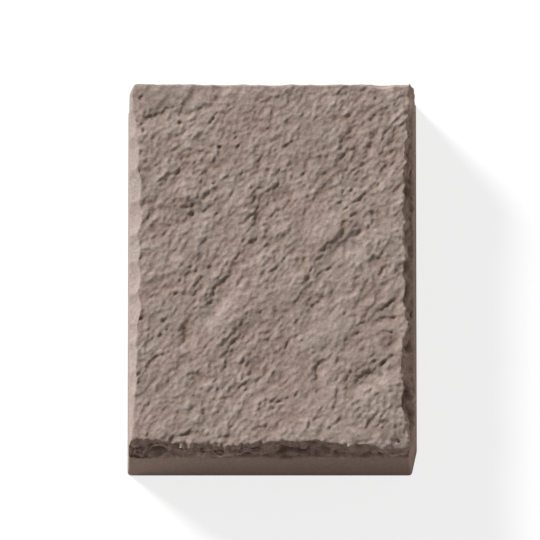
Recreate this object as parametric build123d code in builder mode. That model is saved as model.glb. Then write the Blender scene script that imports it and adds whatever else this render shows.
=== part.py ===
from build123d import *
from math import ceil, cos, exp, hypot, pi, radians, sin, tan
import os

# A cast trim stone: one block with a flat back, four smooth sides that taper as they
# came out of the mould, an arris broken back all round in flakes, and a dressed face.
# It lies on its back. +X is its width, +Y its length, and +Z points out of the face.

# Driving sizes, in millimetres and degrees
stone_width = 152.4
stone_length = 203.2
stone_thickness = 47.6
corner_radius = 1.8

# Each side in turn: the way it faces, the taper of its smooth band, how far under the face
# its broken arris starts, and the lean of that break, both angles measured from upright.
# Its flakes are the chord, the bite and the reach of each one: its length along the edge of
# the face, how far it sets that edge back, and how far it runs down the side. The run of
# flakes goes anticlockwise round the face and repeats until it has gone along the side. The
# smaller chips do the same, lower down: their drop is how far they lie under the edge.
left_side = {
    "facing": (-1, 0),
    "taper": 1.0,
    "break_depth": 6.0,
    "break_lean": 20.0,
    "flakes": [
        (18, 0.7, 6), (20, 0.9, 5), (22, 2.6, 7), (30, 3.5, 8), (34, 4.6, 8), (28, 5.2, 9),
        (32, 4.5, 7), (28, 4.4, 9), (30, 4.3, 8), (22, 2.8, 7), (26, 2.4, 8), (24, 2.4, 6),
        (22, 1.4, 7), (18, 1.1, 6), (16, 0.5, 5), (16, 0.4, 5),
    ],
    "chips": [],
    "chip_drop": 0.0,
}
right_side = {
    "facing": (1, 0),
    "taper": 2.2,
    "break_depth": 13.0,
    "break_lean": 8.0,
    "flakes": [
        (16, 0.8, 8), (20, 2.4, 10), (28, 4.6, 14), (34, 5.0, 13), (24, 4.4, 11), (16, 1.4, 8),
        (30, 4.1, 14), (34, 4.6, 12), (28, 4.3, 15), (36, 4.7, 13), (26, 3.9, 12), (22, 3.6, 10),
        (22, 1.9, 13), (20, 1.6, 9), (14, 0.5, 7), (14, 0.4, 6),
    ],
    "chips": [(11, 0.9, 4), (14, 1.1, 5), (9, 0.7, 4), (17, 1.2, 5)],
    "chip_drop": 7.6,
}
lower_side = {
    "facing": (0, -1),
    "taper": 1.4,
    "break_depth": 14.0,
    "break_lean": 4.0,
    "flakes": [
        (24, 4.2, 12), (32, 5.0, 15), (24, 3.0, 11), (20, 1.3, 9), (18, 0.5, 8), (20, 2.4, 10),
        (34, 5.6, 16), (28, 5.9, 13), (22, 3.9, 11), (26, 3.5, 14), (16, 1.1, 8), (14, 0.4, 6),
        (16, 2.5, 10), (14, 1.5, 7),
    ],
    "chips": [(12, 1.0, 5), (9, 0.7, 4), (16, 1.2, 5), (11, 0.8, 4)],
    "chip_drop": 8.6,
}
upper_side = {
    "facing": (0, 1),
    "taper": 1.2,
    "break_depth": 6.0,
    "break_lean": 8.0,
    "flakes": [
        (14, 1.0, 5), (14, 2.0, 6), (18, 3.0, 8), (16, 0.9, 6), (18, 1.0, 5), (24, 1.5, 7),
        (20, 1.3, 6), (26, 1.6, 8), (22, 1.3, 6), (24, 1.5, 7), (20, 1.2, 6), (18, 0.8, 5),
        (20, 0.7, 6), (18, 0.6, 5), (16, 0.4, 5),
    ],
    "chips": [],
    "chip_drop": 0.0,
}
sides = [left_side, right_side, lower_side, upper_side]
flake_overlap = 0.45

# Corners that the mould left lean, as how far each one's cut runs along the width and
# along the length
upper_left_cut = (3.0, 5.4)
lower_right_cut = (2.8, 13.0)

# The dressed face: long swells as (wavelength, heading, phase, height) ...
face_swells = [(118, 28, 0.4, 0.34), (83, 118, 2.1, 0.26), (57, 74, 4.0, 0.18), (44, 151, 1.2, 0.13)]
# ... and the marks of the dressing, as centre x, centre y, heading, half length, half
# width and height. A mark with a height above 0 is a swelling, and one below 0 a hollow.
face_marks = [
    (-46, 38, 20, 9, 5.5, 1.1),
    (-41, 29, 15, 9, 4.5, -0.7),
    (-13, 32, 88, 14, 5.0, 0.8),
    (3, 38, 60, 17, 9.5, -0.9),
    (34, 20, 43, 17, 4.6, 1.3),
    (42, 13, 40, 15, 5.5, -0.9),
    (17, -4, 66, 17, 4.5, 0.6),
    (15, 64, 70, 26, 19.0, 0.8),
    (51, 44, 112, 20, 8.0, -0.8),
    (33, -38, 35, 12, 8.0, 0.8),
    (21, -24, 40, 11, 6.0, -0.7),
    (-30, -22, 50, 19, 4.4, -1.2),
    (-23, -31, 48, 17, 6.5, 0.6),
    (52, -60, 26, 14, 4.6, -1.5),
    (46, -72, 20, 14, 7.0, 0.5),
    (27, -60, 86, 12, 3.8, -0.7),
    (60, -27, 35, 9, 4.2, -1.0),
    (65, -41, 70, 7, 4.2, -0.9),
    (-52, 84, 13, 18, 4.4, -0.8),
    (16, 90, 80, 8, 6.5, -0.6),
    (-56, -66, 30, 20, 6.0, -0.6),
    (-48, 2, 62, 24, 8.0, 0.4),
]
# The dips at the two lower corners: which corner, how far in from it along the width and
# the length, and then the heading and sizes of the mark
corner_dips = [
    (1, -1, 4, 1, 10, 20, 10.0, -2.4),
    (-1, -1, 16, 1, 8, 22, 7.0, -1.2),
]
dip_marks = [
    (end_x * (stone_width / 2 - inward_x), end_y * (stone_length / 2 - inward_y), *mark)
    for end_x, end_y, inward_x, inward_y, *mark in corner_dips
]
# Faint rings left where the last blows landed: centre, spacing, reach and height
ring_centre = (-1.0, -56.0)
ring_spacing = 15.0
ring_reach = 25.0
ring_height = 0.22
# How far the face's surface runs past the stone, the step and fit of that surface, and the
# height of what is cut away over it
face_margin = 8.0
face_step = 4.0
face_fit = 0.02
face_cut = 24.0


def face_relief(x, y):
    """Height of the dressed face over its mean plane, at a point of the plan."""
    height = 0.0
    for wavelength, heading, phase, swell in face_swells:
        along = x * cos(radians(heading)) + y * sin(radians(heading))
        height += swell * sin(2 * pi * along / wavelength + phase)
    for centre_x, centre_y, heading, half_length, half_width, mark in face_marks + dip_marks:
        dx, dy = x - centre_x, y - centre_y
        along = dx * cos(radians(heading)) + dy * sin(radians(heading))
        across = dy * cos(radians(heading)) - dx * sin(radians(heading))
        height += mark * exp(-((along / half_length) ** 2) - (across / half_width) ** 2)
    reach = hypot(x - ring_centre[0], y - ring_centre[1])
    height += ring_height * cos(2 * pi * reach / ring_spacing) * exp(-((reach / ring_reach) ** 2))
    return height


def evenly_spaced(span, step):
    """Places from one end of a centred span to the other, at most one step apart."""
    count = ceil(span / step)
    return [span * (i / count - 0.5) for i in range(count + 1)]


def leaning_plane(point, facing, lean):
    """The plane through a point that faces this way in plan and leans back by an angle."""
    facing_x, facing_y = facing
    return Plane(
        origin=point,
        x_dir=(-facing_y, facing_x, 0),
        z_dir=(facing_x * cos(radians(lean)), facing_y * cos(radians(lean)), sin(radians(lean))),
    )


def outline_at(height):
    """The corners of the moulded block's outline at a height over its back."""
    left, right, lower, upper = (height * tan(radians(side["taper"])) for side in sides)
    west, east = left - stone_width / 2, stone_width / 2 - right
    south, north = lower - stone_length / 2, stone_length / 2 - upper
    return [
        (west + upper_left_cut[0], north),
        (west, north - upper_left_cut[1]),
        (west, south),
        (east - lower_right_cut[0], south),
        (east, south + lower_right_cut[1]),
        (east, north),
    ]


def break_plane(side):
    """The plane of the broken arris, which starts at the top of the smooth band."""
    facing_x, facing_y = side["facing"]
    band = stone_thickness - side["break_depth"]
    inset = band * tan(radians(side["taper"]))
    foot = (facing_x * (stone_width / 2 - inset), facing_y * (stone_length / 2 - inset), band)
    return leaning_plane(foot, side["facing"], side["break_lean"])


def flaked_inset(side):
    """How far in from the edge of the back the deepest flake of a side reaches."""
    band_inset = (stone_thickness - side["break_depth"]) * tan(radians(side["taper"]))
    break_inset = side["break_depth"] * tan(radians(side["break_lean"]))
    return band_inset + break_inset + max(bite for chord, bite, reach in side["flakes"])


def flakes_along(side):
    """Every flake and chip of a side, as the plane at the centre of its ball and the ball's
    radius. The ball cuts a circle on the plane of the break: the flake's chord is where that
    circle crosses the edge, and its foot is the flake's reach. The ball's poles lie along the
    side and its seam faces out, clear of the stone."""
    breaking = break_plane(side)
    run = stone_length if side["facing"][0] else stone_width
    slope = side["break_depth"] / cos(radians(side["break_lean"]))
    found = []
    for row, drop in ((side["flakes"], 0), (side["chips"], side["chip_drop"])):
        start = -run / 2 - flake_overlap * row[0][0] if row else run / 2
        count = 0
        while start < run / 2:
            chord, bite, reach = row[count % len(row)]
            lift = ((chord / 2) ** 2 - reach**2) / (2 * reach)
            stand_off = ((chord / 2) ** 2 - bite**2) / (2 * bite)
            centre = breaking.from_local_coords((start + chord / 2, slope - drop + lift, stand_off))
            ball = Plane(centre, x_dir=breaking.z_dir, z_dir=breaking.x_dir)
            found.append((ball, hypot(lift + reach, stand_off)))
            start += chord * (1 - flake_overlap)
            count += 1
    return found


# The face as one smooth surface that is wider than the stone. Its highest spot inside every
# flake is at the full thickness.
face_xs = evenly_spaced(stone_width + 2 * face_margin, face_step)
face_ys = evenly_spaced(stone_length + 2 * face_margin, face_step)
left_limit, right_limit, lower_limit, upper_limit = (flaked_inset(side) for side in sides)
crest = max(
    face_relief(x, y)
    for x in evenly_spaced(stone_width, face_step / 4)
    for y in evenly_spaced(stone_length, face_step / 4)
    if left_limit - stone_width / 2 < x < stone_width / 2 - right_limit
    and lower_limit - stone_length / 2 < y < stone_length / 2 - upper_limit
)
face_level = stone_thickness - crest
dressed_face = Face.make_surface_from_array_of_points(
    [[(x, y, face_level + face_relief(x, y)) for x in face_xs] for y in face_ys], tol=face_fit
)

with BuildPart() as trim_stone:
    # The block as it leaves the mould, and a little taller than the finished stone
    for height in (0, stone_thickness + face_margin):
        with BuildSketch(Plane.XY.offset(height)) as outline:
            with BuildLine():
                Polyline(*outline_at(height), close=True)
            make_face()
            fillet(outline.vertices(), corner_radius)
    loft(ruled=True)

    # The dressed face, then the arris split off behind it on all four sides
    extrude(dressed_face, amount=face_cut, dir=(0, 0, 1), mode=Mode.SUBTRACT)
    for side in sides:
        split(bisect_by=break_plane(side), keep=Keep.BOTTOM)

    # The flakes of the broken arris
    for side in sides:
        for ball, radius in flakes_along(side):
            with Locations(ball):
                Sphere(radius, mode=Mode.SUBTRACT)

trim_stone.part.label = "trim_stone"
os.makedirs("parts", exist_ok=True)
export_step(trim_stone.part, "parts/trim_stone.step")
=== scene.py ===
import math

import bpy
import numpy as np
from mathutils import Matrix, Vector


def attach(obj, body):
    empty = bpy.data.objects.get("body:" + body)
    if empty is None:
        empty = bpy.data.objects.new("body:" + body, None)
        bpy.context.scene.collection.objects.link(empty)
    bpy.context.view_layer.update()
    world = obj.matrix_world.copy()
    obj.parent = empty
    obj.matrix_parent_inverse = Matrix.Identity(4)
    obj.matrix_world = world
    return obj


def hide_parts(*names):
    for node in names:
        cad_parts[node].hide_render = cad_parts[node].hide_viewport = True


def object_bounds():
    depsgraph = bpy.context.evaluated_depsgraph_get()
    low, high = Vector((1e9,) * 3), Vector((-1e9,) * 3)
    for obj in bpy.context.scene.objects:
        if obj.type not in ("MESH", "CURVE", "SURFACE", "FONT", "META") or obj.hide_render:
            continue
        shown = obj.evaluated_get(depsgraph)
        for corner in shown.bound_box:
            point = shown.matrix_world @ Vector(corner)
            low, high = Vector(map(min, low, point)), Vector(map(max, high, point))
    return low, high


# A cast trim stone lying on its back. Lengths below are millimetres unless a name says otherwise.

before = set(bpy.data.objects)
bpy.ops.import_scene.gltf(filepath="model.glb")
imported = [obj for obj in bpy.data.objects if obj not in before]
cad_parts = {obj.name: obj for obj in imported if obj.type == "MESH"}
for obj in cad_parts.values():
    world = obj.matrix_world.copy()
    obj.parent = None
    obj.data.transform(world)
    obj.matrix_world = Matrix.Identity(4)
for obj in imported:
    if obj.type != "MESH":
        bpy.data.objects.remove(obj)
cadLow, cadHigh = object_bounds()
mm = 0.001
print("frame loaded, CAD box", [round(h - l, 4) for l, h in zip(cadLow, cadHigh)])


# The view of the photograph: a long lens that looks down on the face

view = {
    "lens": 1000.0,
    "sensor": 36.0,
    "elevation": 75.2,  # degrees above the floor
    "pixelsPerMm": 1.892,
    "frameWidth": 540,  # pixels
    "aim": (-1.16, 10.33, 0.0),
    "clipNear": 0.5,  # shares of the camera's distance
    "clipFar": 2.0,
}


def onPlan(pixels, height):
    # where a ray through each pixel (x right, y down) meets the level plane at this height
    p = np.array(pixels, float)
    rise = math.radians(view["elevation"])
    middle = view["frameWidth"] / 2
    x = (p[:, 0] - middle) / view["pixelsPerMm"] + view["aim"][0]
    up = (middle - p[:, 1]) / view["pixelsPerMm"]
    y = (up - height * math.cos(rise)) / math.sin(rise) + view["aim"][1]
    return np.stack([x, y], axis=1)


# Noise that the stone's relief is made of

latticeKeys = (374761393, 668265263, 2147483647, 974634777)  # odd numbers that scramble well
stirKeys = (1274126177, 2246822519)
allBits = 0xFFFFFFFF
shareBits = 0xFFFFFF

# which draw of the noise each use takes; a warp takes three, and the lumps one for each set
seeds = {
    "secondNumber": 71,
    "lumps": 11,
    "smallPits": 31,
    "lumpWarp": 41,
    "patches": 57,
    "band": 63,
    "crackWarp": 73,
    "chips": 77,
    "markWarps": (91, 96),
    "creaseBreaks": 95,
}


def latticeTurn(ix, iy, iz, seed):
    # scrambles whole lattice numbers into one even number from 0 to 1: each is multiplied by
    # its key and added, and the sum is twice folded on itself and multiplied, all in 32 bits
    a, b, c, d = latticeKeys
    first, second = stirKeys
    h = (ix * a + iy * b + iz * c + seed * d) & allBits
    h = ((h ^ (h >> 13)) * first) & allBits
    h = ((h ^ (h >> 16)) * second) & allBits
    return ((h ^ (h >> 15)) & shareBits) / (shareBits + 1.0)


def gradientNoise(points, cell, seed):
    # each lattice corner has a random direction; its dot with the way to the point is
    # blended over the cell by 6t^5 - 15t^4 + 10t^3, which gives about -0.9 to 0.9
    q = points / cell
    base = np.floor(q).astype(np.int64)
    f = q - base
    fade = f * f * f * (f * (f * 6.0 - 15.0) + 10.0)
    total = np.zeros(len(points))
    for corner in np.ndindex(2, 2, 2):
        ix, iy, iz = (base + corner).T
        tall = latticeTurn(ix, iy, iz, seed) * 2.0 - 1.0
        turn = latticeTurn(ix, iy, iz, seed + seeds["secondNumber"]) * 2.0 * math.pi
        flat = np.sqrt(1.0 - tall * tall)
        way = f - corner
        dot = way[:, 0] * flat * np.cos(turn) + way[:, 1] * flat * np.sin(turn) + way[:, 2] * tall
        weight = np.where(corner, fade, 1.0 - fade).prod(axis=1)
        total += dot * weight
    return total


def smoothStep(x, low, high):
    # 0 below low, 1 above high and 3t^2 - 2t^3 between
    t = np.clip((x - low) / (high - low), 0.0, 1.0)
    return t * t * (3.0 - 2.0 * t)


# The stone's broad form, laid on the CAD solid

stoneForm = {
    "width": (cadHigh[0] - cadLow[0]) / mm,
    "length": (cadHigh[1] - cadLow[1]) / mm,
    "cornerRadius": 1.8,
    "arcPoints": 9,
    "upperLeftCut": (3.0, 5.4),
    "lowerRightCut": (2.8, 13.0),
    "faceColumns": 192,
    "faceRows": 264,
    "coreInset": 14.0,  # the line that the rays of the broken arris run to: in from the sides
    "coreHeight": 36.6,  # and over the back
    "castStandOff": 8.0,
    "arrisInset": 6.0,  # where the arris is on average, and the height of the face there
    "faceHeight": 46.6,
    "fineStep": 0.7,  # height of a row of quads on the broken arris
    "breakFoot": 31.0,  # where the coarse rows of the smooth band start
    "coarseRows": 10,
    "leastMove": 0.001,  # a point of the cast that moves less than this met nothing
}


def roundedOutline(form):
    # the outline of the back: six corners, each replaced by an arc of evenly spaced points
    halfW, halfL = form["width"] / 2, form["length"] / 2
    cutX, cutY = form["upperLeftCut"]
    leanX, leanY = form["lowerRightCut"]
    corners = np.array([
        (-halfW, -halfL),
        (halfW - leanX, -halfL),
        (halfW, -halfL + leanY),
        (halfW, halfL),
        (-halfW + cutX, halfL),
        (-halfW, halfL - cutY),
    ])
    path = []
    for k, corner in enumerate(corners):
        back = corners[k - 1] - corner
        ahead = corners[(k + 1) % len(corners)] - corner
        back, ahead = back / np.linalg.norm(back), ahead / np.linalg.norm(ahead)
        half = math.acos(back @ ahead) / 2
        middle = (back + ahead) / np.linalg.norm(back + ahead)
        centre = corner + middle * form["cornerRadius"] / math.sin(half)
        start = corner + back * form["cornerRadius"] / math.tan(half) - centre
        angles = np.linspace(0.0, math.pi - 2 * half, form["arcPoints"])
        x = start[0] * np.cos(angles) - start[1] * np.sin(angles)
        y = start[0] * np.sin(angles) + start[1] * np.cos(angles)
        path.append(centre + np.stack([x, y], axis=1))
    return np.concatenate(path)


def outlineLoop(form):
    # the outline cut into equal steps on each of its four sides, anticlockwise from lower left;
    # a side runs from the middle of one corner arc to the next, and the short cuts at the upper
    # left and lower right belong to the left and right sides
    path = roundedOutline(form)
    closed = np.vstack([path, path[:1]])
    along = np.concatenate([[0.0], np.cumsum(np.linalg.norm(np.diff(closed, axis=0), axis=1))])
    arcMiddles = along[form["arcPoints"] // 2 :: form["arcPoints"]]
    stops = list(arcMiddles[[0, 1, 3, 4]]) + [arcMiddles[0] + along[-1]]
    counts = [form["faceColumns"], form["faceRows"]] * 2
    places = [np.linspace(a, b, n, endpoint=False) for a, b, n in zip(stops, stops[1:], counts)]
    places = np.concatenate(places) % along[-1]
    return np.stack([np.interp(places, along, closed[:, axis]) for axis in (0, 1)], axis=1)


def coonsPatch(lower, right, upper, left):
    # a grid whose edges are four curves: the two rulings added, less the flat of the corners
    u = np.linspace(0, 1, len(lower))[None, :, None]
    v = np.linspace(0, 1, len(left))[:, None, None]
    across = (1 - v) * lower[None] + v * upper[None]
    along = (1 - u) * left[:, None] + u * right[:, None]
    flat = (1 - v) * ((1 - u) * lower[0] + u * lower[-1]) + v * ((1 - u) * upper[0] + u * upper[-1])
    return across + along - flat


def ringFaces(ring):
    # quads between rings of points that lie one under another
    ahead = np.roll(ring, -1, axis=1)
    return np.stack([ring[:-1], ring[1:], ahead[1:], ahead[:-1]], axis=2).reshape(-1, 4)


def stoneCast(form):
    # a cast that surrounds the stone: flat over the face, a quarter round over the broken
    # arris whose rays all run to one line inside the stone, and upright round the sides
    loop = outlineLoop(form)
    n, m = form["faceColumns"], form["faceRows"]
    core = loop * (1.0 - 2 * form["coreInset"] / np.array([form["width"], form["length"]]))
    lower = core[: n + 1]
    right = core[n : n + m + 1]
    upper = core[n + m : 2 * n + m + 1][::-1]
    left = np.vstack([core[2 * n + m :], core[:1]])[::-1]
    reach = form["coreInset"] + form["castStandOff"]
    plan = coonsPatch(lower, right, upper, left).reshape(-1, 2)
    face = np.hstack([plan, np.full((len(plan), 1), form["coreHeight"] + reach)])

    ahead = np.roll(loop, -1, axis=0) - np.roll(loop, 1, axis=0)
    outward = np.stack([ahead[:, 1], -ahead[:, 0]], axis=1)
    outward /= np.linalg.norm(outward, axis=1)[:, None]
    outer = loop + outward * form["castStandOff"]

    # rows go in even steps over the face to where the arris mostly is, and down from there
    over = form["coreInset"] - form["arrisInset"]
    rise = form["faceHeight"] - form["coreHeight"]
    path = np.arange(1, round((over + rise) / form["fineStep"]) + 1) * form["fineStep"]
    path = path * (over + rise) / path[-1]
    turn = np.arctan2(np.minimum(rise, over + rise - path), np.minimum(path, over))[:, None, None]
    arc = core[None] + (outer - core)[None] * np.cos(turn)
    arcHeight = np.broadcast_to(form["coreHeight"] + reach * np.sin(turn), arc.shape[:2] + (1,))
    fine = np.arange(form["coreHeight"] - form["fineStep"], form["breakFoot"], -form["fineStep"])
    levels = np.concatenate([fine, np.linspace(fine[-1], 0, form["coarseRows"] + 1)[1:]])
    wall = np.broadcast_to(outer[None], (len(levels),) + outer.shape)
    wallHeight = np.broadcast_to(levels[:, None, None], wall.shape[:2] + (1,))
    rings = np.concatenate([np.dstack([arc, arcHeight]), np.dstack([wall, wallHeight])])

    # which point of the face each place on the loop is
    rows = np.arange(m + 1) * (n + 1)
    edge = np.concatenate([np.arange(n), rows[:-1] + n, rows[-1] + np.arange(n, 0, -1), rows[:0:-1]])
    points = np.vstack([face, rings.reshape(-1, 3)])
    ringAt = np.vstack([edge, len(face) + np.arange(rings.shape[0] * len(loop)).reshape(-1, len(loop))])
    i, j = np.meshgrid(np.arange(n), np.arange(m))
    a = (j * (n + 1) + i).ravel()
    faceQuads = np.stack([a, a + 1, a + n + 2, a + n + 1], axis=1)
    return points, np.vstack([faceQuads, ringFaces(ringAt)]), ringAt, loop


def drawnIn(points, quads, target):
    # the cast's points moved in along its normals until they meet the target
    mesh = bpy.data.meshes.new("cast")
    mesh.from_pydata(points * mm, [], quads.tolist())
    probe = bpy.data.objects.new("cast", mesh)
    bpy.context.scene.collection.objects.link(probe)
    wrap = probe.modifiers.new("draw in", "SHRINKWRAP")
    wrap.target = target
    wrap.wrap_method = "PROJECT"
    wrap.use_negative_direction = True
    wrap.use_positive_direction = False
    found = probe.evaluated_get(bpy.context.evaluated_depsgraph_get()).data
    laid = np.empty(len(points) * 3)
    found.vertices.foreach_get("co", laid)
    bpy.data.objects.remove(probe)
    bpy.data.meshes.remove(mesh)
    return laid.reshape(-1, 3) / mm


def stoneMesh(name, form, target):
    # the cast drawn in onto the solid, its last ring laid on the outline of the back, and the
    # back closed by strips that run from edge to edge
    points, quads, ringAt, loop = stoneCast(form)
    laid = drawnIn(points, quads, target)
    foot = ringAt[-1]
    laid[foot] = np.hstack([loop, np.zeros((len(loop), 1))])
    missed = np.abs(laid - points).max(axis=1) < form["leastMove"]
    print("points of the cast that missed the solid:", int(missed.sum()))

    n, m = form["faceColumns"], form["faceRows"]
    near = foot[: n + 1]
    far = foot[n + m : 2 * n + m + 1][::-1]
    backQuads = np.stack([near[1:-2], far[1:-2], far[2:-1], near[2:-1]], axis=1)
    westEnd = np.concatenate([near[:2], far[1:2], foot[2 * n + m :]])[::-1]
    eastEnd = np.concatenate([near[-2:-1], foot[n : n + m + 1], far[-2:-1]])[::-1]
    faces = np.vstack([quads, backQuads]).tolist() + [westEnd.tolist(), eastEnd.tolist()]
    mesh = bpy.data.meshes.new(name)
    mesh.from_pydata(laid * mm, [], faces)
    mesh.validate()
    return mesh, laid, len(backQuads) + 2


skinMesh, points, backCount = stoneMesh("stone_skin", stoneForm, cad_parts["trim_stone"])
print("stone skin:", len(points), "points", len(skinMesh.polygons), "faces")


# The relief of the cast stone

relief = {
    # cell of each set of lumps and their height, biggest first
    "lumps": [
        (24.0, 0.16), (14.0, 0.24), (9.0, 0.46), (6.0, 0.66),
        (4.2, 0.44), (3.0, 0.53), (2.1, 0.66), (1.5, 0.37),
    ],
    "warpCell": 9.0,  # the noise that bends the lumps, and how far
    "warp": 1.6,
    "grainWay": 50.0,  # heading that the lumps are drawn out along, and how far
    "grainStretch": 1.45,
    "pitCell": 3.1,  # small pits between the lumps
    "pitDepth": 1.0,
    "pitFloor": 0.24,
    "patchCell": 34.0,  # calm and rough patches of the face
    "patchShare": 0.56,
    "calmShare": 0.6,  # how much of the listed calm below is used
    "lean": 0.22,  # how far the lumps lean over for each millimetre of height, and which way
    "leanWay": (0.73, -0.68),
    "sink": 0.30,  # how far under the solid's surface the relief lies
    "backReach": 0.01,  # what is this near the floor is the back, which stays flat

    # how much of a normal points up or outwards where each of these starts and is complete
    "faceTilt": (0.45, 0.8),
    "leanTilt": (0.5, 0.9),
    "bandTilt": (0.3, 0.8),
    "sideTilt": (0.25, 0.6),
    "rimTilt": (0.15, 0.6),

    # the broken arris of the lower and right sides
    "breakGain": 2.3,  # how much rougher it is
    "breakTone": 1.1,  # how much less its depth darkens or lightens it as painted shade and highlight
    "breakShade": 0.02,  # and how much darker all of it is painted, as painted shade
    "edgeCalm": 0.25,  # roughness lost close under the face, and the heights of that
    "edgeHeights": (42.0, 46.0),
    "cornerCalm": 0.7,  # roughness lost at the corners, and height lost there
    "cornerLow": 0.3,
    "cornerAcross": (69.0, 74.5),  # distances from the stone's middle over which a corner starts
    "cornerAlong": (93.0, 98.5),
    "chipSlope": 1.6,  # fall of the chipped slope for each millimetre out from its line
    "chipCell": 2.1,
    "chipRagged": 2.6,
    "chipFade": (-0.4, 0.8),
    "crackWarpCell": 6.0,
    "crackWarp": 1.8,

    # the left and upper arris, which face the key lamp and are painted paler there as painted light
    "rimCalm": 0.55,  # how much smoother it is
    "upperRim": 0.8,  # how much of the rim the upper side has
    "lipHeights": (34.0, 40.0),  # where its pale lip, painted light, fades in

    # the smooth band
    "bandShare": 0.16,  # how much of the relief it keeps
    "bandTopLow": 33.0,  # its top on the right and lower sides
    "bandTopHigh": 41.6,  # and on the left and upper sides
    "bandBlur": 1.6,
    "bandWave": 1.6,
    "bandWaveCell": 11.0,

    "levelTone": 0.5,
    "hollowTone": 0.42,  # how much a millimetre of depth darkens the stone, as painted shade, and a millimetre of height lightens it, as painted highlight
    "headroom": 0.02,  # what stays free under the CAD box
    "headSoftness": 0.35,

    # the listed marks
    "faceHeight": 46.0,  # the height at which a pixel of the photograph is laid
    "markWarps": [(5.0, 1.1), (2.3, 0.9)],  # the noises that bend them, and how far
    "grooveShare": 0.33,  # how much of their depths and heights is used
    "ledgeShare": 0.18,
    "pitShare": 0.55,
    "swellShare": 0.40,
    "grooveWidth": 0.85,  # how far a groove and its ledge reach, in half widths
    "ledgeWidth": 4.0,
    "creaseReach": 10.0,
    "creaseEnd": 0.25,  # what is left of a crease at its ends, and how fast it grows from there
    "creaseGrowth": 6.4,
    "creaseBreak": 2.0,  # how much a crease comes and goes, and within what limits
    "creaseBreakCell": 2.6,
    "creaseLimits": (0.1, 1.9),
}

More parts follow.
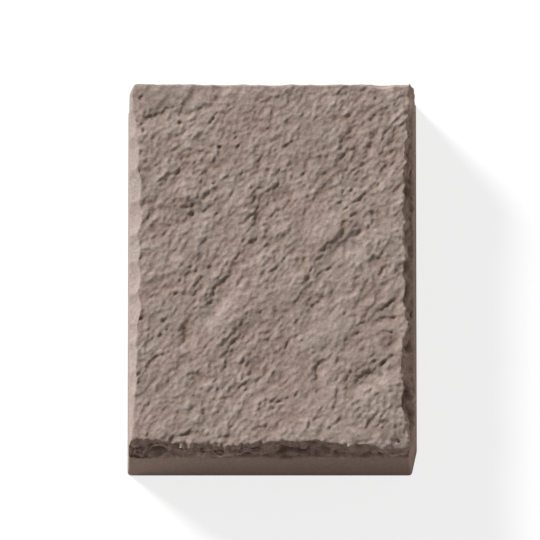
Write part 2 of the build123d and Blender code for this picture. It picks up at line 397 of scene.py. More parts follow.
# Lines that the dressing left, in pixels of the photograph. Each is the groove's depth, its half
# width, the height of the ledge on its upper left side, and the points that it runs through.
creases = [
    (1.3, 1.1, 0.5, [(138, 115), (147, 118), (156, 117), (164, 113), (170, 110), (177, 106)]),
    (1.3, 1.0, 0.4, [(177, 116), (183, 113), (189, 116), (194, 112), (200, 109), (208, 107)]),
    (0.8, 0.9, 0.3, [(150, 100), (152, 110), (152, 120)]),
    (0.7, 0.8, 0.2, [(183, 101), (186, 95), (189, 91)]),
    (0.6, 0.7, 0.3, [(163, 104), (168, 98)]),
    (1.0, 0.8, 0.5, [(205, 128), (210, 122), (216, 116), (223, 112)]),
    (0.7, 0.7, 0.3, [(236, 143), (241, 139), (246, 134)]),
    (0.9, 0.9, 0.5, [(171, 156), (175, 151), (179, 147)]),
    (1.2, 0.9, 0.5, [(180, 162), (184, 158), (190, 158)]),
    (1.0, 1.0, 0.5, [(163, 181), (170, 176), (178, 174), (183, 170)]),
    (0.7, 0.7, 0.4, [(203, 156), (208, 153), (214, 149)]),
    (0.8, 0.7, 0.4, [(229, 159), (234, 153)]),
    (1.3, 0.9, 0.7, [(259, 162), (264, 158), (270, 156)]),
    (1.0, 0.8, 0.5, [(237, 182), (241, 177), (243, 171), (247, 168)]),
    (0.6, 0.6, 0.3, [(216, 185), (224, 179), (231, 174)]),
    (1.1, 1.0, 0.5, [(255, 200), (260, 197), (267, 192)]),
    (1.7, 1.1, 0.8, [(177, 211), (184, 208), (191, 208), (196, 204)]),
    (1.0, 0.8, 0.5, [(202, 212), (208, 209), (212, 205)]),
    (1.2, 0.8, 0.5, [(213, 216), (219, 213)]),
    (0.8, 0.9, 0.4, [(141, 225), (146, 221), (151, 216)]),
    (0.9, 1.2, 0.3, [(146, 197), (145, 207)]),
    (0.9, 1.2, 0.4, [(163, 229), (169, 225), (176, 227)]),
    (0.7, 0.8, 0.5, [(183, 237), (190, 231)]),
    (0.7, 0.7, 0.5, [(182, 251), (188, 242), (196, 232)]),
    (0.7, 0.7, 0.4, [(201, 245), (207, 238)]),
    (1.0, 1.6, 0.4, [(257, 198), (258, 210), (257, 219), (259, 229)]),
    (1.0, 0.9, 0.7, [(248, 244), (255, 240), (262, 233)]),
    (0.6, 0.7, 0.4, [(239, 247), (247, 237)]),
    (0.8, 1.0, 0.4, [(140, 260), (145, 251)]),
    (0.7, 1.0, 0.3, [(146, 271), (153, 271), (161, 271)]),
    (0.7, 0.9, 0.3, [(157, 278), (161, 272), (165, 265)]),
    (0.9, 0.9, 0.5, [(149, 303), (153, 295), (157, 288)]),
    (1.4, 1.3, 0.6, [(192, 296), (197, 292), (203, 286)]),
    (2.1, 1.5, 0.9, [(205, 309), (211, 300), (215, 293), (219, 286), (225, 279), (231, 275), (233, 270)]),
    (0.9, 1.1, 0.3, [(222, 272), (225, 266), (230, 261)]),
    (0.9, 0.8, 0.4, [(194, 309), (203, 306)]),
    (1.2, 1.3, 0.4, [(188, 324), (187, 331), (186, 339)]),
    (0.9, 1.1, 0.4, [(189, 312), (192, 318)]),
    (1.0, 1.0, 0.5, [(140, 319), (147, 316), (152, 312)]),
    (1.5, 1.0, 0.8, [(343, 211), (349, 207), (355, 203), (362, 199)]),
    (1.1, 0.9, 0.6, [(343, 223), (350, 218), (357, 212)]),
    (0.8, 0.9, 0.3, [(304, 291), (306, 284), (309, 276), (313, 267), (318, 259), (321, 251)]),
    (1.2, 0.8, 0.2, [(321, 251), (327, 245), (334, 241)]),
    (0.4, 1.5, 0.1, [(334, 241), (341, 236), (347, 228), (354, 219), (361, 212)]),
    (0.8, 0.7, 0.6, [(335, 227), (343, 221)]),
    (0.7, 0.8, 0.5, [(355, 236), (363, 229)]),
    (0.9, 0.8, 0.6, [(368, 241), (375, 236), (382, 232)]),
    (1.0, 1.1, 0.4, [(367, 230), (371, 223), (374, 212)]),
    (1.3, 0.8, 0.8, [(322, 276), (326, 271), (331, 266), (335, 262)]),
    (1.2, 0.8, 0.7, [(326, 285), (331, 279)]),
    (0.8, 0.8, 0.5, [(346, 265), (350, 261)]),
    (0.9, 0.8, 0.5, [(352, 258), (357, 254)]),
    (1.2, 1.5, 0.4, [(303, 304), (310, 306), (316, 304)]),
    (0.7, 1.2, 0.3, [(316, 304), (321, 299), (324, 293)]),
    (0.9, 1.0, 0.5, [(304, 317), (310, 312)]),
    (0.7, 0.7, 0.3, [(270, 271), (278, 269)]),
    (2.1, 1.0, 1.0, [(379, 312), (385, 307), (388, 303), (394, 299)]),
    (1.8, 1.1, 0.6, [(376, 320), (382, 317), (390, 317), (399, 316)]),
    (0.9, 0.8, 0.5, [(372, 287), (377, 284), (382, 278)]),
    (0.8, 0.8, 0.5, [(379, 273), (383, 267)]),
    (1.7, 1.1, 0.8, [(149, 366), (153, 361), (158, 356), (165, 353)]),
    (1.0, 0.9, 0.6, [(165, 353), (171, 351), (176, 347), (184, 342), (189, 337)]),
    (1.6, 1.0, 0.4, [(138, 375), (143, 372)]),
    (0.9, 0.9, 0.5, [(142, 384), (149, 379)]),
    (1.9, 1.0, 0.8, [(209, 388), (211, 384), (215, 380)]),
    (1.0, 0.8, 0.5, [(247, 399), (252, 394), (257, 390)]),
    (0.9, 0.8, 0.5, [(147, 407), (152, 401)]),
    (0.8, 0.9, 0.3, [(171, 398), (181, 396)]),
    (1.7, 1.1, 0.7, [(169, 439), (176, 436), (184, 433), (191, 431), (200, 431)]),
    (1.9, 1.1, 0.8, [(217, 438), (223, 435), (231, 434)]),
    (1.0, 0.8, 0.4, [(265, 375), (269, 366)]),
    (0.7, 0.9, 0.3, [(248, 363), (252, 350)]),
    (0.9, 0.8, 0.5, [(260, 411), (262, 403), (266, 398)]),
    (0.6, 0.8, 0.4, [(222, 359), (228, 350), (235, 339)]),
    (1.1, 0.8, 0.7, [(284, 350), (288, 343), (292, 336)]),
    (1.8, 1.1, 0.7, [(326, 360), (319, 361), (316, 367), (316, 373), (318, 377), (314, 382)]),
    (1.1, 0.9, 0.6, [(319, 388), (315, 395), (312, 401)]),
    (1.7, 1.0, 0.8, [(344, 383), (348, 376), (352, 369)]),
    (1.7, 1.1, 0.5, [(351, 374), (358, 377), (364, 374), (372, 373), (380, 372)]),
    (1.0, 1.0, 0.6, [(355, 371), (363, 366), (370, 362), (380, 358)]),
    (2.0, 1.0, 0.9, [(379, 366), (385, 360), (390, 356), (393, 352)]),
    (1.1, 0.9, 0.6, [(370, 356), (376, 350)]),
    (1.1, 0.8, 0.5, [(382, 331), (393, 332)]),
    (1.0, 0.8, 0.6, [(394, 335), (402, 331)]),
    (0.9, 0.9, 0.5, [(350, 342), (355, 335), (362, 330)]),
    (0.8, 1.1, 0.4, [(344, 347), (348, 336)]),
    (0.8, 0.9, 0.5, [(354, 327), (361, 323), (367, 321)]),
    (1.2, 0.9, 0.7, [(262, 401), (272, 401), (283, 399), (292, 396), (300, 391)]),
    (0.7, 0.7, 0.4, [(331, 409), (339, 406)]),
    (0.7, 0.7, 0.4, [(319, 410), (325, 404)]),
    (0.8, 0.7, 0.4, [(366, 422), (372, 419)]),
    (0.9, 0.8, 0.4, [(387, 427), (397, 426)]),
    (0.7, 0.7, 0.5, [(325, 432), (332, 425)]),
    (1.0, 0.9, 0.7, [(354, 446), (359, 440)]),
    (1.1, 0.7, 0.9, [(326, 97), (331, 92), (336, 90)]),
    (1.4, 0.7, 1.0, [(332, 97), (337, 94), (342, 91)]),
    (1.3, 0.9, 0.7, [(261, 100), (264, 97), (269, 95)]),
    (1.2, 0.9, 0.5, [(291, 97), (293, 93)]),
    (1.0, 0.8, 0.7, [(355, 95), (361, 91)]),
    (0.8, 0.9, 0.4, [(302, 116), (306, 110), (309, 105)]),
    (1.0, 0.8, 0.6, [(322, 188), (326, 184), (330, 181)]),
    (0.7, 0.7, 0.5, [(333, 120), (342, 117), (350, 114)]),
    (0.9, 0.8, 0.5, [(369, 122), (374, 118)]),
    (0.9, 0.8, 0.5, [(379, 125), (382, 118)]),
    (0.7, 0.8, 0.4, [(380, 113), (382, 108)]),
    (0.7, 0.8, 0.5, [(382, 151), (386, 146), (390, 142)]),
    (0.7, 0.7, 0.5, [(391, 139), (395, 134)]),
    (0.8, 0.8, 0.4, [(369, 139), (375, 136)]),
    (0.8, 0.7, 0.5, [(337, 144), (343, 140), (349, 136)]),
    (0.8, 0.8, 0.5, [(322, 127), (326, 122)]),
    (0.8, 0.7, 0.5, [(327, 134), (332, 129)]),
    (0.8, 0.7, 0.5, [(268, 128), (276, 125)]),
    (0.7, 0.7, 0.4, [(293, 128), (297, 124)]),
    (1.0, 0.7, 0.6, [(285, 147), (290, 144), (296, 141)]),
    (0.8, 0.7, 0.5, [(270, 154), (276, 151)]),
    (1.1, 0.9, 0.6, [(321, 160), (327, 157)]),
    (1.3, 0.9, 0.6, [(341, 160), (345, 154)]),
    (1.0, 0.8, 0.5, [(362, 160), (369, 157)]),
    (1.1, 0.7, 0.6, [(349, 151), (355, 148), (360, 145)]),
    (1.2, 0.8, 0.6, [(345, 171), (350, 168)]),
    (0.8, 0.9, 0.5, [(349, 177), (354, 170)]),
    (0.9, 0.8, 0.6, [(301, 177), (306, 173)]),
    (0.8, 0.8, 0.4, [(276, 175), (280, 169)]),
    (1.0, 0.8, 0.4, [(277, 186), (280, 179)]),
    (1.0, 0.9, 0.4, [(281, 194), (287, 193)]),
    (0.9, 0.8, 0.5, [(305, 197), (310, 194)]),
    (0.9, 0.9, 0.5, [(357, 200), (363, 195), (371, 190)]),
    (0.7, 0.8, 0.4, [(375, 187), (380, 183)]),
    (0.7, 0.9, 0.4, [(386, 195), (390, 192)]),
]

# Round holes: the pixel of each one, its radius and depth
pits = [
    (180.5, 123.5, 1.3, 1.7), (218.8, 147, 0.9, 2.4), (143.5, 125, 1.0, 1.3), (144, 131, 1.1, 1.6),
    (137, 122, 0.9, 1.0), (142, 98, 1.3, 1.3), (133, 97, 1.0, 0.9), (146, 112, 1.1, 1.1),
    (181, 116, 1.0, 0.9), (217, 100, 1.3, 0.9), (222.5, 123, 1.1, 1.0), (236, 138, 1.1, 1.2),
    (238, 147, 0.9, 1.2), (226, 115, 0.9, 0.9), (230, 106, 0.9, 0.8), (142, 152, 0.9, 0.9),
    (143, 142, 1.0, 0.8), (192.5, 214.5, 1.0, 1.3), (221, 236, 1.1, 1.0), (201, 152, 0.9, 0.9),
    (202, 183, 0.9, 0.8), (206, 187, 0.9, 0.9), (215, 184, 0.9, 0.9), (211, 123, 1.0, 0.9),
    (210, 268, 0.9, 0.9), (141.5, 318.5, 1.3, 1.3), (202, 278, 0.9, 0.9), (218, 278, 0.8, 0.9),
    (176, 294, 0.9, 0.8), (184, 295, 0.9, 0.8), (261, 313, 1.1, 0.9), (162, 335, 1.5, 1.2),
    (175, 334, 1.0, 0.8), (168, 330, 1.0, 0.8), (192, 361, 1.4, 0.8), (205, 363, 0.9, 0.8),
    (194, 372, 1.2, 0.7), (204, 412, 0.9, 0.7), (219, 412, 0.9, 0.7), (199, 396, 1.0, 0.7),
    (223, 402, 1.1, 0.8), (234, 399, 1.0, 0.7), (241, 402, 0.9, 0.8), (262, 426, 1.1, 0.8),
    (226, 334, 1.1, 0.7), (235, 330, 1.0, 0.8), (287, 364, 0.9, 0.8), (285, 258, 0.8, 0.7),
    (275, 257, 0.9, 0.7), (284, 317, 0.9, 0.8), (298, 336, 1.1, 0.7), (314, 348, 1.2, 0.8),
    (344, 247, 1.1, 0.8), (372, 213, 1.2, 0.9), (372, 248, 1.2, 0.7), (378, 261, 2.2, 0.7),
    (359, 306, 1.1, 0.8), (405.5, 209, 1.2, 1.2), (388, 214, 0.9, 0.6), (372, 122, 0.9, 0.6),
    (377, 185, 1.0, 0.8), (356, 317, 1.2, 0.6), (362, 423, 1.0, 0.7), (352, 425, 1.0, 0.7),
    (379, 375, 1.0, 0.8), (311, 95, 1.0, 0.9), (376, 99, 0.9, 0.7), (172, 403, 1.1, 0.7),
    (281, 405, 1.0, 0.7), (274, 407, 0.9, 0.7), (245, 307, 1.3, 0.6), (165, 321, 1.1, 0.8),
]

# Broad swellings and hollows: pixel of the centre, half sizes in pixels along and across the
# heading, the heading above the horizontal, and the height
swells = [
    (184, 188, 14, 9, 40, 0.8), (202, 222, 13, 8, 50, 0.8), (237, 203, 16, 8, 60, 0.7),
    (316, 230, 14, 9, 60, 0.5), (330, 328, 14, 12, 60, 0.9), (228, 306, 26, 9, 55, 1.0),
    (361, 402, 16, 9, 30, 0.7), (326, 375, 9, 5, 30, 0.9), (400, 345, 9, 3.5, 65, 1.0),
    (328, 293, 9, 3, 75, 0.7), (173, 365, 15, 6, 40, 0.6), (200, 345, 13, 7, 20, 0.6),
    (395, 103, 14, 8, 60, 0.6), (213, 115, 11, 6, 40, 0.7), (186, 142, 14, 7, 55, 0.5),
    (385, 386, 14, 7, 40, 0.7), (345, 300, 16, 10, 50, 0.5), (361, 262, 14, 9, 50, 0.4),
    (190, 440, 12, 4, 30, 0.7), (240, 440, 13, 4, 15, 0.6), (300, 430, 20, 7, 10, 0.5),
    (350, 435, 20, 6, 10, 0.5), (398, 443, 8, 5, 50, 0.8), (160, 205, 14, 9, 60, -0.6),
    (187, 330, 6, 11, 0, -1.9), (186, 204, 13, 5, 20, -0.9), (302, 103, 12, 8, 60, -0.7),
    (185, 110, 16, 7, 20, -0.5), (282, 191, 20, 12, 60, -0.6), (356, 208, 18, 9, 55, -0.7),
    (314, 298, 11, 6, 20, -1.2), (390, 341, 9, 6, 60, -1.4), (362, 372, 17, 7, 15, -1.2),
    (196, 286, 10, 8, 50, -0.8), (222, 284, 20, 6, 52, -0.9), (258, 214, 7, 20, 0, -0.7),
    (375, 218, 9, 14, 0, -0.7), (160, 252, 13, 24, 0, -0.35), (150, 110, 12, 12, 0, -0.5),
    (390, 318, 14, 5, 0, -0.7), (270, 370, 34, 30, 0, -0.4),
]

# Calm patches: pixel of the centre, half sizes in pixels, and the share of the lumps that goes
calmPatches = [
    (333, 330, 13, 14, 0.65), (224, 312, 20, 12, 0.55), (313, 226, 14, 14, 0.45), (372, 105, 22, 10, 0.45),
    (290, 372, 22, 26, 0.40), (240, 165, 12, 10, 0.35), (170, 150, 14, 9, 0.35), (330, 435, 40, 6, 0.35),
    (225, 250, 14, 10, 0.35), (300, 120, 18, 10, 0.30), (240, 300, 14, 12, 0.40), (365, 270, 16, 8, 0.30),
    (195, 355, 16, 6, 0.40), (270, 300, 20, 16, 0.35), (160, 370, 14, 8, 0.40), (345, 290, 16, 10, 0.35),
]


def lumpyHeight(points, sets, firstSeed):
    # several sets of gradient noise, one on top of another
    total = np.zeros(len(points))
    for k, (cell, height) in enumerate(sets):
        total += height * gradientNoise(points, cell, firstSeed + k)
    return total


def warped(points, cell, reach, seed):
    # each point moved a little by three more noises, so that no lump is round
    push = [gradientNoise(points, cell, seed + k) for k in range(3)]
    return points + reach * np.stack(push, axis=1)


def drawnOut(points, heading, stretch):
    # the plan turned to the heading and shortened along it, so that noise read there is longer
    turn = math.radians(heading)
    along = (points[:, 0] * math.cos(turn) + points[:, 1] * math.sin(turn)) / stretch
    across = points[:, 1] * math.cos(turn) - points[:, 0] * math.sin(turn)
    return np.stack([along, across, points[:, 2]], axis=1)


def creaseHeight(plan, depth, halfWidth, ledge, path, rule):
    # with w the half width, d the distance from the line and s how far past it a point lies
    # the way the ledge falls: a groove -depth exp(-(d/aw)^2) and a ledge
    # -ledge tanh(s/w) exp(-(d/bw)^2), both times end + (1 - end) growth t(1 - t) along the line
    nearest = np.full(len(plan), np.inf)
    past = np.zeros(len(plan))
    share = np.zeros(len(plan))
    steps = np.linalg.norm(np.diff(path, axis=0), axis=1)
    run = np.concatenate([[0.0], np.cumsum(steps)])
    for k, (start, end) in enumerate(zip(path, path[1:])):
        way = (end - start) / steps[k]
        t = np.clip((plan - start) @ way, 0.0, steps[k])
        gap = plan - start - t[:, None] * way
        distance = np.linalg.norm(gap, axis=1)
        closer = distance < nearest
        nearest = np.where(closer, distance, nearest)
        past = np.where(closer, gap @ np.array(rule["leanWay"]), past)
        share = np.where(closer, (run[k] + t) / run[-1], share)
    least = rule["creaseEnd"]
    ends = least + (1.0 - least) * np.clip(rule["creaseGrowth"] * share * (1.0 - share), 0.0, 1.0)
    groove = depth * np.exp(-((nearest / (rule["grooveWidth"] * halfWidth)) ** 2))
    fade = np.exp(-((nearest / (rule["ledgeWidth"] * halfWidth)) ** 2))
    step = ledge * np.tanh(past / halfWidth) * fade
    return -ends * (groove + step)


def handLaid(points, faceUp, rule):
    # every crease, pit and swell added up over the points that face up; a pit is
    # -depth exp(-(d/r)^4)
    height = np.zeros(len(points))
    facing = np.flatnonzero(faceUp > 0.0)
    plan = points[facing]
    for (cell, reach), seed in zip(rule["markWarps"], seeds["markWarps"]):
        plan = warped(plan, cell, reach, seed)
    plan = plan[:, :2]
    laid = np.zeros(len(plan))
    for depth, halfWidth, ledge, pixels in creases:
        path = onPlan(pixels, rule["faceHeight"])
        reach = rule["creaseReach"] * halfWidth
        near = ((plan > path.min(axis=0) - reach) & (plan < path.max(axis=0) + reach)).all(axis=1)
        deep, high = depth * rule["grooveShare"], ledge * rule["ledgeShare"]
        laid[near] += creaseHeight(plan[near], deep, halfWidth, high, path, rule)
    breaks = gradientNoise(points[facing], rule["creaseBreakCell"], seeds["creaseBreaks"])
    laid *= np.clip(1.0 + rule["creaseBreak"] * breaks, *rule["creaseLimits"])
    for x, y, radius, depth in pits:
        gap = np.linalg.norm(plan - onPlan([(x, y)], rule["faceHeight"]), axis=1) / radius
        laid -= depth * rule["pitShare"] * np.exp(-(gap**4))
    for x, y, halfLength, halfWidth, heading, rise in swells:
        laid += rise * rule["swellShare"] * ovalShare(plan, x, y, halfLength, halfWidth, heading, rule)
    height[facing] = laid
    return height * faceUp


def ovalShare(plan, x, y, halfLength, halfWidth, heading, rule):
    # exp(-(along/a)^2 - (across/b)^2), with the half sizes given in pixels
    turn = math.radians(heading)
    gap = (plan - onPlan([(x, y)], rule["faceHeight"])) * view["pixelsPerMm"]
    along = gap[:, 0] * math.cos(turn) + gap[:, 1] * math.sin(turn)
    across = gap[:, 1] * math.cos(turn) - gap[:, 0] * math.sin(turn)
    return np.exp(-((along / halfLength) ** 2) - (across / halfWidth) ** 2)


def roughShare(points, faceUp, rule):
    # how much of the lumps each place keeps: a broad noise, less the calm patches
    share = 1.0 + rule["patchShare"] * gradientNoise(points, rule["patchCell"], seeds["patches"])
    for x, y, halfLength, halfWidth, calm in calmPatches:
        oval = ovalShare(points[:, :2], x, y, halfLength, halfWidth, 0.0, rule)
        share *= 1.0 - rule["calmShare"] * calm * faceUp * oval
    return share


# The broken arris on the two low sides, where it is roughest: cracks that run along the side.
# Each is its place along the side and height over the back, half sizes and depth, in mm.
sideCracks = {
    "lower": [
        (-66, 42, 4, 1.6, 0.8), (-60.5, 38, 5.5, 1.4, 2.4), (-39, 35, 5, 1.5, 0.8),
        (-30, 33.5, 6, 1.4, 1.2), (-15.5, 37.5, 4, 1.6, 2.0), (-8.5, 41, 3, 1.4, 1.2),
        (-1, 35, 6, 1.3, 1.5), (9, 31.5, 8, 1.2, 1.2), (13, 38, 7, 1.5, 2.2), (21, 42.5, 4, 1.5, 1.2),
        (29, 32, 5, 1.3, 1.1), (37.5, 38, 4.5, 1.7, 2.1), (53.5, 37, 5, 1.5, 1.4), (63, 41, 5, 1.5, 1.6),
        (-49, 42.5, 3, 1.4, 1.1), (46, 42.5, 3, 1.3, 0.9), (-24, 42, 4, 1.4, 1.1),
        (3, 42.5, 4, 1.2, 1.0), (68, 35, 3, 1.3, 1.0), (-53, 33, 4, 1.2, 0.7),
    ],
    "right": [
        (80, 38, 4, 3, 1.6), (75, 41, 3, 2, 1.2), (69, 37, 4, 3, 1.8), (62, 41, 5, 2, 1.5),
        (53, 37, 8, 3, 2.2), (44, 41, 5, 2.5, 1.6), (38, 36, 6, 2.5, 1.8), (31, 42, 4, 2, 1.4),
        (26, 36, 6, 3, 1.8), (18, 40, 4, 2.5, 1.5), (11, 37, 5, 2.5, 1.8), (2, 41, 6, 2.5, 1.6),
        (-4, 36, 5, 2.5, 1.6), (-13, 41, 8, 3, 2.8), (-22, 36.5, 5, 2.5, 1.6), (-30, 41, 4, 2, 1.4),
        (-41, 40, 6, 3, 2.0), (-53, 38, 5, 2.5, 1.6), (-63, 41, 6, 2.5, 2.0), (-71, 42, 6, 3, 2.8),
        (-78, 37, 5, 2.5, 1.5), (-88, 40, 5, 2.0, 1.2),
    ],
}


# Where the lower arris is chipped back to: x across the stone and y along it, in mm
chipLine = [
    (-76.2, -91.6), (-68, -91.9), (-60, -92.4), (-50, -94.2), (-40, -94.6), (-33, -93.8), (-25, -95.8),
    (-15, -95.0), (-5, -94.4), (8, -94.2), (20, -93.8), (28, -94.2), (36, -95.4), (46, -96.2), (56, -95.8),
    (66, -97.8), (76.2, -98.3),
]


def chippedTop(points, rule):
    # the height that the chips leave: the full one over the face, and falling evenly with the
    # distance out from a ragged line
    x, y = np.array(chipLine).T
    line = np.interp(points[:, 0], x, y)
    line += rule["chipRagged"] * gradientNoise(points, rule["chipCell"], seeds["chips"])
    full = cadHigh[2] / mm - rule["headroom"]
    return full - rule["chipSlope"] * np.maximum(line - points[:, 1], 0.0)


def crackedHeight(points, normals, rule):
    # oval grooves -depth exp(-(along/a)^2 - (up/b)^2), on the side that each list names
    height = np.zeros(len(points))
    bent = warped(points, rule["crackWarpCell"], rule["crackWarp"], seeds["crackWarp"])
    for side, axis, facing in (("lower", 0, -normals[:, 1]), ("right", 1, normals[:, 0])):
        onSide = smoothStep(facing, *rule["sideTilt"])
        for along, up, halfLength, halfHeight, depth in sideCracks[side]:
            gap = ((bent[:, axis] - along) / halfLength) ** 2 + ((bent[:, 2] - up) / halfHeight) ** 2
            height -= depth * onSide * np.exp(-gap)
    return height


def smoothBandShare(points, normals, rule):
    # 1 on the smooth band of the sides, 0 on the break and the face; the band's top is high
    # on the left and upper sides and low on the other two
    east, north = normals[:, 0], normals[:, 1]
    low = np.maximum(east, 0) ** 2 + np.maximum(-north, 0) ** 2
    high = np.maximum(-east, 0) ** 2 + np.maximum(north, 0) ** 2
    tiny = 1e-6  # so that level places divide by something
    bandTop = (low * rule["bandTopLow"] + high * rule["bandTopHigh"]) / np.maximum(low + high, tiny)
    bandTop = bandTop + rule["bandWave"] * gradientNoise(points, rule["bandWaveCell"], seeds["band"])
    upright = 1.0 - smoothStep(normals[:, 2], *rule["bandTilt"])
    return upright * (1.0 - smoothStep(points[:, 2] - bandTop, -rule["bandBlur"], rule["bandBlur"]))


def stoneRelief(points, normals, rule):
    # the lumps less the small pits, times the share kept, and the listed marks; times a
    # gain for the break, the rim and the corners, with the cracks, and less on the smooth band
    faceUp = smoothStep(normals[:, 2], *rule["faceTilt"])
    bent = warped(points, rule["warpCell"], rule["warp"], seeds["lumpWarp"])
    bent = drawnOut(bent, rule["grainWay"], rule["grainStretch"])
    lumps = lumpyHeight(bent, rule["lumps"], seeds["lumps"])
    smallPits = gradientNoise(bent, rule["pitCell"], seeds["smallPits"])
    smallPits = np.maximum(smallPits - rule["pitFloor"], 0.0)
    height = (lumps - rule["pitDepth"] * smallPits) * roughShare(points, faceUp, rule)
    height += handLaid(points, faceUp, rule)

    band = smoothBandShare(points, normals, rule)
    # the lower and right sides, turned away from the key lamp, and the chipped slope: rougher, and painted
    # darker and warmer there as painted shade
    low = smoothStep(np.maximum(normals[:, 0], -normals[:, 1]), *rule["sideTilt"])
    low = np.maximum(low, smoothStep(points[:, 2] - chippedTop(points, rule), *rule["chipFade"]))
    # the left and upper arris, turned toward the key lamp: painted paler there as painted light, and
    # calmer in relief
    lit_rim = smoothStep(np.maximum(-normals[:, 0], rule["upperRim"] * normals[:, 1]), *rule["rimTilt"])
    lit_rim *= smoothStep(points[:, 2], *rule["lipHeights"])
    underEdge = 1.0 - rule["edgeCalm"] * smoothStep(points[:, 2], *rule["edgeHeights"])
    across, along = np.abs(points[:, 0]), np.abs(points[:, 1])
    atCorner = smoothStep(across, *rule["cornerAcross"]) * smoothStep(along, *rule["cornerAlong"])
    broken = low * (1.0 - band) * underEdge * (1.0 - rule["cornerCalm"] * atCorner)
    gain = 1.0 + (rule["breakGain"] - 1.0) * broken - rule["rimCalm"] * lit_rim
    height *= gain * (1.0 - rule["cornerLow"] * atCorner)
    height += crackedHeight(points, normals, rule)
    height *= 1.0 - band * (1.0 - rule["bandShare"])

    # painted shade and highlight: darker the deeper a place lies, lighter the higher it stands
    tone = rule["hollowTone"] * height / (1.0 + rule["breakTone"] * broken)
    hollow = rule["levelTone"] - tone + rule["breakShade"] * broken
    return height, {"hollow": np.clip(hollow, 0, 1), "shaded_side": low, "lit_rim": lit_rim}


def vertexNormals(mesh):
    found = np.empty(len(mesh.vertices) * 3)
    mesh.vertex_normals.foreach_get("vector", found)
    return found.reshape(-1, 3)


def carve(points, normals, height, rule):
    # out along the normals by the height, and over by a share of it; the top is held under
    # the CAD box and the chips by a soft minimum, -s log(exp(-a/s) + exp(-b/s))
    faceUp = smoothStep(normals[:, 2], *rule["leanTilt"])
    carved = points + normals * (height - rule["sink"])[:, None]
    carved[:, :2] += np.array(rule["leanWay"]) * (rule["lean"] * height * faceUp)[:, None]
    top, s = chippedTop(points, rule), rule["headSoftness"]
    carved[:, 2] = -s * np.logaddexp(-carved[:, 2] / s, -top / s)
    low, high = np.array(cadLow) / mm, np.array(cadHigh) / mm
    return np.clip(carved, low, high)


normals = vertexNormals(skinMesh)
height, tones = stoneRelief(points, normals, relief)
carved = carve(points, normals, height, relief)
onBack = points[:, 2] < relief["backReach"]
carved[onBack] = points[onBack]
skinMesh.vertices.foreach_set("co", (carved * mm).ravel())
skinMesh.update()
lowest, highest = height.min().round(2), height.max().round(2)
print("relief carved, rms", height.std().round(3), "from", lowest, "to", highest)


def pointAttribute(mesh, name, values):
    layer = mesh.attributes.new(name, "FLOAT", "POINT")
    layer.data.foreach_set("value", values.astype(np.float32))


for toneName, tone in tones.items():
    pointAttribute(skinMesh, toneName, tone)
rounded = np.ones(len(skinMesh.polygons), bool)
rounded[-backCount:] = False  # the back is flat, with a sharp edge
skinMesh.polygons.foreach_set("use_smooth", rounded)
stoneSkin = bpy.data.objects.new("stone_skin", skinMesh)
bpy.context.scene.collection.objects.link(stoneSkin)
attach(stoneSkin, "root")
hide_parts("trim_stone")


# The cast stone's finish

castStone = {
    # the face from painted highlight on its high places to painted shade in its hollows, and the tone at
    # which each colour stands
    "paintedHighlightColour": (0.390, 0.312, 0.278, 1.0),
    "colour": (0.316, 0.244, 0.211, 1.0),
    "hollowColour": (0.245, 0.176, 0.143, 1.0),
    "faceTones": (0.25, 0.5, 0.85),

    # painted light: the left and upper arris, which face the key lamp, painted paler; its hollows have the
    # face's colour
    "paintedLightRimColour": (0.352, 0.286, 0.258, 1.0),
    "lipTones": (0.3, 0.95),

    # painted shade on the lower and right sides, which face away from the key lamp: painted highlight on
    # the ridges of the break, the darker, warmer shaded side, painted shade in the cracks
    "ridgeHighlightColour": (0.470, 0.360, 0.305, 1.0),
    "shadedSideColour": (0.306, 0.213, 0.175, 1.0),
    "crackShadeColour": (0.135, 0.083, 0.061, 1.0),
    "sideTones": (0.24, 0.48, 0.62, 1.0),

    # a slow change of warmth over the block
    "coolTint": (0.93, 0.97, 0.93, 1.0),
    "warmTint": (1.0, 0.93, 0.91, 1.0),
    "tintTones": (0.35, 0.65),
    "mottle": 0.30,
    "mottleSize": 26.0,
    "mottleDetail": 2.0,

    # sand grains dark and light
    "darkSand": (0.25, 0.25, 0.25, 1.0),
    "lightSand": (0.75, 0.75, 0.75, 1.0),
    "sandTones": (0.3, 0.7),
    "grain": 0.36,
    "grainSize": 1.1,
    "grainDetail": 4.0,

    # grit and pores too small for the mesh
    "gritSize": 0.45,
    "gritDetail": 3.0,
    "bumpHeight": 0.11,
    "roughness": 0.95,
    "gloss": 0.2,
}


def ramp(nodes, links, source, places, colours):
    # the source's number read as a colour, with each colour at its own place
    node = nodes.new("ShaderNodeValToRGB")
    stops = node.color_ramp.elements
    while len(stops) < len(places):
        stops.new(0.5)
    for stop, place, colour in zip(stops, places, colours):
        stop.position = place
        stop.color = colour
    links.new(source, node.inputs["Fac"])
    return node.outputs["Color"]


def mixed(nodes, links, kind, factor, first, second):
    # one colour laid over another, by a number or by a socket
    node = nodes.new("ShaderNodeMix")
    node.data_type = "RGBA"
    node.blend_type = kind
    if isinstance(factor, float):
        node.inputs["Factor"].default_value = factor
    else:
        links.new(factor, node.inputs["Factor"])
    links.new(first, node.inputs["A"])
    links.new(second, node.inputs["B"])
    return node.outputs["Result"]


def stoneNoise(nodes, links, place, size, detail):
    # a noise whose lumps are about this many millimetres across
    node = nodes.new("ShaderNodeTexNoise")
    node.inputs["Scale"].default_value = 1.0 / (size * mm)
    node.inputs["Detail"].default_value = detail
    links.new(place, node.inputs["Vector"])
    return node.outputs["Fac"]


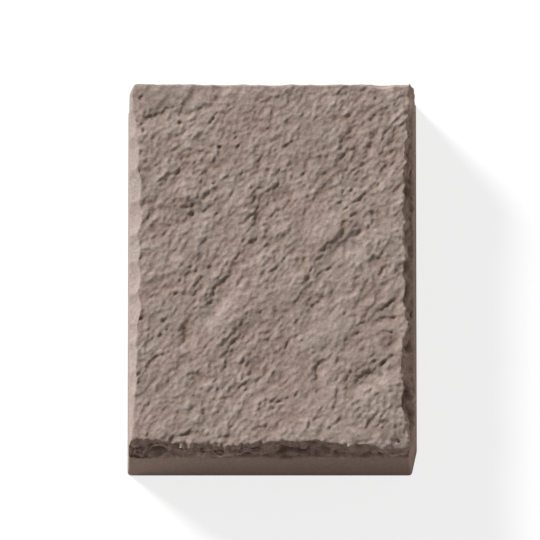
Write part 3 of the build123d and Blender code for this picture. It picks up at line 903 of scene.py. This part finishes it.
def castStoneFinish(look):
    finish = bpy.data.materials.new("cast_stone")
    finish.use_nodes = True
    nodes, links = finish.node_tree.nodes, finish.node_tree.links
    shader = nodes["Principled BSDF"]
    shader.inputs["Roughness"].default_value = look["roughness"]
    shader.inputs["Specular IOR Level"].default_value = look["gloss"]
    place = nodes.new("ShaderNodeTexCoord").outputs["Object"]
    share = {}
    for name in ("hollow", "shaded_side", "lit_rim"):
        node = nodes.new("ShaderNodeAttribute")
        node.attribute_name = name
        share[name] = node.outputs["Fac"]

    # painted highlight on the face's high places and painted shade in its hollows
    faceHighlightAndShade = (look["paintedHighlightColour"], look["colour"], look["hollowColour"])
    # painted light on the arris that faces the key lamp
    litRimPaint = (look["paintedLightRimColour"], look["colour"])
    # painted shade on the sides turned from the key lamp, with painted highlight on the ridges of the
    # break and painted shade in its cracks
    shadedSidePaint = (look["ridgeHighlightColour"], look["shadedSideColour"], look["shadedSideColour"], look["crackShadeColour"])
    colour = ramp(nodes, links, share["hollow"], look["faceTones"], faceHighlightAndShade)
    litRimTone = ramp(nodes, links, share["hollow"], look["lipTones"], litRimPaint)
    side = ramp(nodes, links, share["hollow"], look["sideTones"], shadedSidePaint)
    colour = mixed(nodes, links, "MIX", share["lit_rim"], colour, litRimTone)
    colour = mixed(nodes, links, "MIX", share["shaded_side"], colour, side)

    mottle = stoneNoise(nodes, links, place, look["mottleSize"], look["mottleDetail"])
    tint = ramp(nodes, links, mottle, look["tintTones"], (look["coolTint"], look["warmTint"]))
    colour = mixed(nodes, links, "MULTIPLY", look["mottle"], colour, tint)
    grain = stoneNoise(nodes, links, place, look["grainSize"], look["grainDetail"])
    sand = ramp(nodes, links, grain, look["sandTones"], (look["darkSand"], look["lightSand"]))
    colour = mixed(nodes, links, "OVERLAY", look["grain"], colour, sand)
    links.new(colour, shader.inputs["Base Color"])

    grit = stoneNoise(nodes, links, place, look["gritSize"], look["gritDetail"])
    rough = nodes.new("ShaderNodeMath")
    rough.operation = "ADD"
    links.new(grain, rough.inputs[0])
    links.new(grit, rough.inputs[1])
    bump = nodes.new("ShaderNodeBump")
    bump.inputs["Strength"].default_value = 1.0
    bump.inputs["Distance"].default_value = look["bumpHeight"] * mm
    links.new(rough.outputs[0], bump.inputs["Height"])
    links.new(bump.outputs["Normal"], shader.inputs["Normal"])
    return finish


stoneSkin.data.materials.append(castStoneFinish(castStone))
print("finish made")


# Floor, lights and camera

stage = {
    "floorSize": 8.0,  # metres, like the other two lengths here
    "floorGap": 0.0001,  # keeps the floor clear of the back, so that the two don't flicker
    "lampDistance": 2.0,
    "floorColour": (0.8, 0.8, 0.8, 1.0),
    "floorSeen": (0.3, 0.3, 0.3, 1.0),  # the paint as the camera sees it, with the glow added
    "floorGlow": 0.78,
    "backdrop": (1.0, 1.0, 1.0, 1.0),
    "skyLight": 0.20,
    "keyLight": 5.05,
    "keyAzimuth": 137.0,
    "keyElevation": 27.0,
    "keySpread": 16.0,
    "fillLight": 0.70,
    "fillAzimuth": -4.0,
    "fillElevation": 18.0,
    "fillSpread": 80.0,
}


def seenDirectly(nodes, links):
    # 1 for camera, glossy and transmission rays
    path = nodes.new("ShaderNodeLightPath")
    first = nodes.new("ShaderNodeMath")
    first.operation = "MAXIMUM"
    second = nodes.new("ShaderNodeMath")
    second.operation = "MAXIMUM"
    links.new(path.outputs["Is Camera Ray"], first.inputs[0])
    links.new(path.outputs["Is Glossy Ray"], first.inputs[1])
    links.new(first.outputs[0], second.inputs[0])
    links.new(path.outputs["Is Transmission Ray"], second.inputs[1])
    return second.outputs[0]


def makeFloor(look):
    half = look["floorSize"] / 2
    mesh = bpy.data.meshes.new("floor")
    z = -look["floorGap"]
    corners = [(-half, -half, z), (half, -half, z), (half, half, z), (-half, half, z)]
    mesh.from_pydata(corners, [], [(0, 1, 2, 3)])
    floor = bpy.data.objects.new("floor", mesh)
    bpy.context.scene.collection.objects.link(floor)
    finish = bpy.data.materials.new("floor_paint")
    finish.use_nodes = True
    nodes, links = finish.node_tree.nodes, finish.node_tree.links
    nodes.clear()
    out = nodes.new("ShaderNodeOutputMaterial")
    paint = nodes.new("ShaderNodeBsdfDiffuse")
    paint.inputs["Color"].default_value = look["floorColour"]
    faint = nodes.new("ShaderNodeBsdfDiffuse")
    faint.inputs["Color"].default_value = look["floorSeen"]
    glow = nodes.new("ShaderNodeEmission")
    glow.inputs["Strength"].default_value = look["floorGlow"]
    both = nodes.new("ShaderNodeAddShader")
    pick = nodes.new("ShaderNodeMixShader")
    links.new(faint.outputs[0], both.inputs[0])
    links.new(glow.outputs[0], both.inputs[1])
    links.new(seenDirectly(nodes, links), pick.inputs[0])
    links.new(paint.outputs[0], pick.inputs[1])
    links.new(both.outputs[0], pick.inputs[2])
    links.new(pick.outputs[0], out.inputs["Surface"])
    mesh.materials.append(finish)


def makeWorld(look):
    world = bpy.data.worlds.new("studio")
    bpy.context.scene.world = world
    world.use_nodes = True
    nodes, links = world.node_tree.nodes, world.node_tree.links
    nodes.clear()
    out = nodes.new("ShaderNodeOutputWorld")
    sky = nodes.new("ShaderNodeBackground")
    sky.inputs["Strength"].default_value = look["skyLight"]
    backdrop = nodes.new("ShaderNodeBackground")
    backdrop.inputs["Color"].default_value = look["backdrop"]
    pick = nodes.new("ShaderNodeMixShader")
    links.new(seenDirectly(nodes, links), pick.inputs[0])
    links.new(sky.outputs[0], pick.inputs[1])
    links.new(backdrop.outputs[0], pick.inputs[2])
    links.new(pick.outputs[0], out.inputs["Surface"])


def makeSun(name, look):
    lamp = bpy.data.lights.new(name, "SUN")
    lamp.energy = look[name + "Light"]
    lamp.angle = math.radians(look[name + "Spread"])
    sun = bpy.data.objects.new(name, lamp)
    bpy.context.scene.collection.objects.link(sun)
    turn, rise = math.radians(look[name + "Azimuth"]), math.radians(look[name + "Elevation"])
    towards = Vector((math.cos(turn) * math.cos(rise), math.sin(turn) * math.cos(rise), math.sin(rise)))
    sun.location = towards * look["lampDistance"]
    sun.rotation_mode = "QUATERNION"
    sun.rotation_quaternion = (-towards).to_track_quat("-Z", "Y")


def makeCamera(look):
    data = bpy.data.cameras.new("camera")
    data.lens = look["lens"]
    data.sensor_width = look["sensor"]
    camera = bpy.data.objects.new("camera", data)
    bpy.context.scene.collection.objects.link(camera)
    rise = math.radians(look["elevation"])
    back = np.array([0.0, -math.cos(rise), math.sin(rise)])
    seen = look["frameWidth"] / look["pixelsPerMm"] * mm
    distance = seen * look["lens"] / look["sensor"]
    camera.location = Vector(np.array(look["aim"]) * mm + back * distance)
    camera.rotation_mode = "QUATERNION"
    camera.rotation_quaternion = Vector(-back).to_track_quat("-Z", "Y")
    data.clip_start = distance * look["clipNear"]
    data.clip_end = distance * look["clipFar"]
    bpy.context.scene.camera = camera


makeFloor(stage)
makeWorld(stage)
makeSun("key", stage)
makeSun("fill", stage)
makeCamera(view)
bpy.context.scene.view_settings.view_transform = "Standard"
print("stage, lights and camera made")
